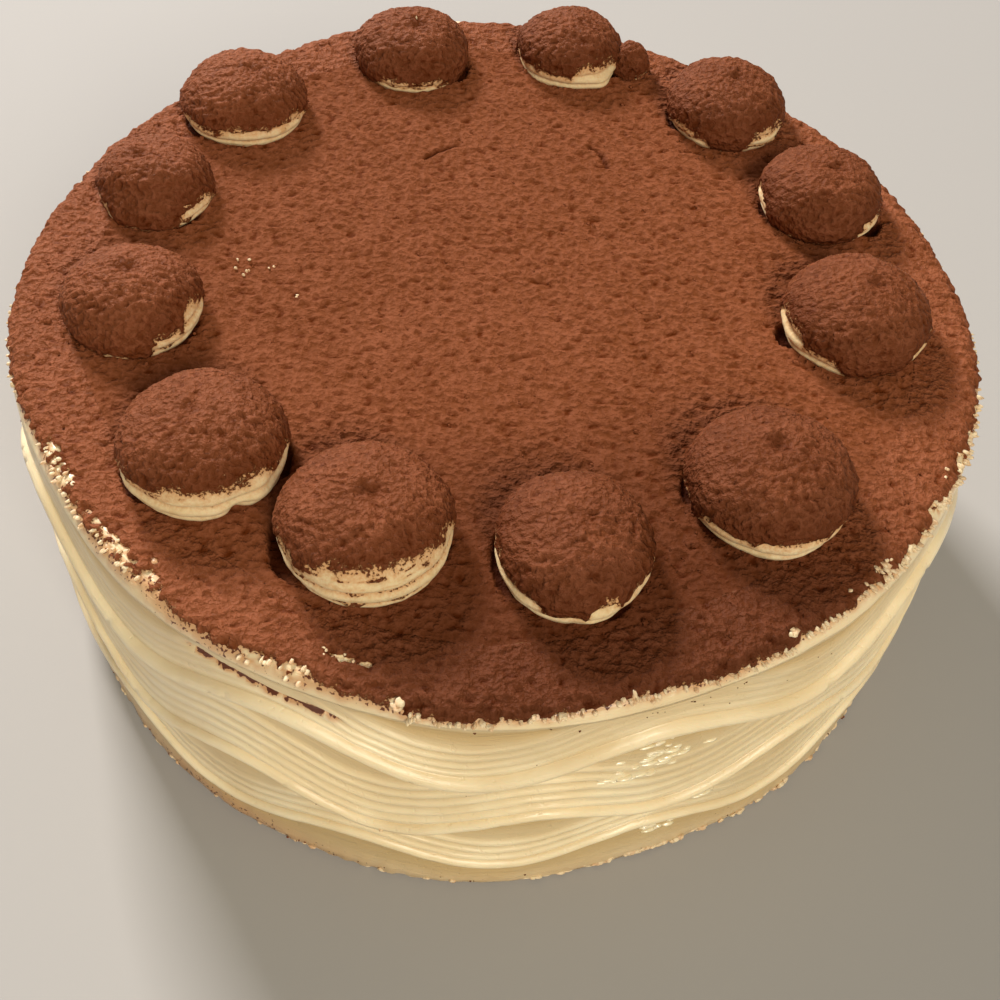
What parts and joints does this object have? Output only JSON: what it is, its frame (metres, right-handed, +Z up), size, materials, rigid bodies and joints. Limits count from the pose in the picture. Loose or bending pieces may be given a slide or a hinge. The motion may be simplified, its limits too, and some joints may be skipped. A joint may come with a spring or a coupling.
{
  "type": "tiramisu cake",
  "caption": "Whole round tiramisu cake: cream sides combed in overlapping wavy bands, a flat top under cocoa and a ring of piped cream mounds dusted with cocoa.",
  "frame": {"origin": "centre of the flat underside, where the cake rests", "axes": "+Z up through the cake, -Y towards the cake's front, +X to its right seen from the front"},
  "size_m": [0.2639, 0.2661, 0.1102],
  "materials": {
    "cream": "soft whipped cream frosting, satin, moist in places",
    "cocoa": "dry sifted cocoa powder, matt, with a fine clumpy relief"
  },
  "bodies": {
    "root": {"cake": "cream", "mound_01": "cocoa", "mound_02": "cocoa", "mound_03": "cocoa", "mound_04": "cocoa", "mound_05": "cocoa", "mound_06": "cocoa", "mound_07": "cocoa", "mound_08": "cocoa", "mound_09": "cocoa", "mound_10": "cocoa", "mound_11": "cocoa", "mound_12": "cocoa", "mound_11_drop": "cocoa"}
  },
  "joints": []
}
